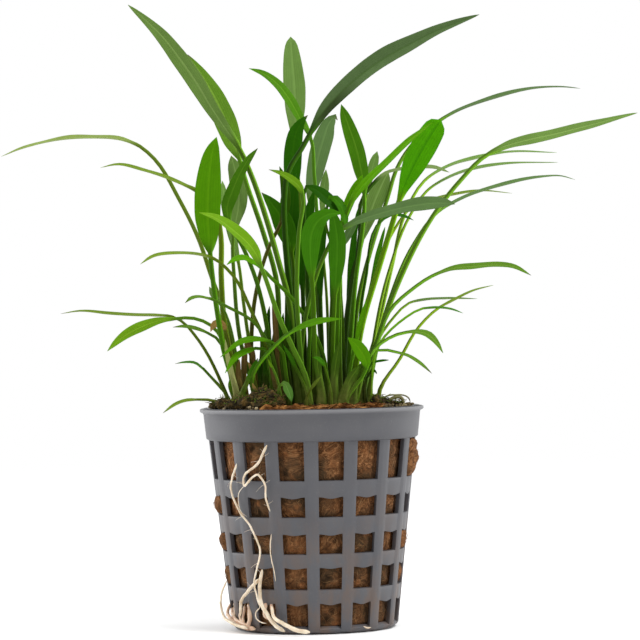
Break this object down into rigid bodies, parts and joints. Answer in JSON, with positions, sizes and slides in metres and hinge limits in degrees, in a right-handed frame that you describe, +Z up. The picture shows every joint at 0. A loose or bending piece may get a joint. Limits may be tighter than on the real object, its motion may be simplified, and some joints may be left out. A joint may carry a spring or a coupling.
{
  "type": "potted cryptocoryne",
  "caption": "Small water plant with slender stalked leaves fanning out of a perforated plastic net pot packed with rockwool, cream roots hanging outside.",
  "frame": {"origin": "centre of the net pot's underside, on the pot's axis, in the plane it stands on", "axes": "+Z up along the pot's axis, -Y towards the pictured front, +X to the right of that view"},
  "size_m": [0.1486, 0.0803, 0.1435],
  "materials": {
    "pot_plastic": "moulded, satin, slightly mottled bluish grey",
    "rockwool": "damp brown mineral fibre",
    "moss": "matted moss and dark debris",
    "leaves": "fresh green leaf, satin, thin enough to let light through",
    "roots": "fresh cream root"
  },
  "bodies": {
    "root": {"leaf_bright_stripe": "leaves", "leaf_broad_left": "leaves", "leaf_broad_right": "leaves", "leaf_brown_stalk": "leaves", "leaf_centre_pointing_left": "leaves", "leaf_crossing": "leaves", "leaf_curved_top": "leaves", "leaf_dark_arch": "leaves", "leaf_dark_centre_left": "leaves", "leaf_dark_centre_pointed": "leaves", "leaf_dark_centre_right": "leaves", "leaf_dark_twisted": "leaves", "leaf_far_left_wavy": "leaves", "leaf_front_centre": "leaves", "leaf_front_left_arching": "leaves", "leaf_great_left": "leaves", "leaf_great_left_back": "leaves", "leaf_great_right": "leaves", "leaf_grey_back_left": "leaves", "leaf_grey_centre_right": "leaves", "leaf_grey_long_right": "leaves", "leaf_grey_right": "leaves", "leaf_grey_right_blade": "leaves", "leaf_hooked_left": "leaves", "leaf_left_drooping": "leaves", "leaf_left_long_arch": "leaves", "leaf_left_mid_arch": "leaves", "leaf_left_pointing_right": "leaves", "leaf_left_short_arch": "leaves", "leaf_left_small_arch": "leaves", "leaf_long_grey_arch": "leaves", "leaf_low_left_dark": "leaves", "leaf_lowest_left": "leaves", "leaf_oval_front_right": "leaves", "leaf_pale_left": "leaves", "leaf_right_arch": "leaves", "leaf_right_drooping": "leaves", "leaf_right_long_blade": "leaves", "leaf_right_lowest": "leaves", "leaf_right_of_centre": "leaves", "leaf_separate_right": "leaves", "leaf_small_droop_left": "leaves", "leaf_small_droop_right": "leaves", "leaf_small_left": "leaves", "leaf_tall_back": "leaves", "leaf_thin_low": "leaves", "leaf_thin_low_upper": "leaves", "leaf_thin_pale": "leaves", "leaf_thin_right_lower": "leaves", "leaf_thin_right_upper": "leaves", "moss_mound": "moss", "net_pot": "pot_plastic", "rockwool_plug": "rockwool", "root_branch": "roots", "root_floor_left": "roots", "root_floor_right": "roots", "root_long": "roots", "root_looped": "roots", "root_outer_curl": "roots", "root_stub": "roots"}
  },
  "joints": []
}
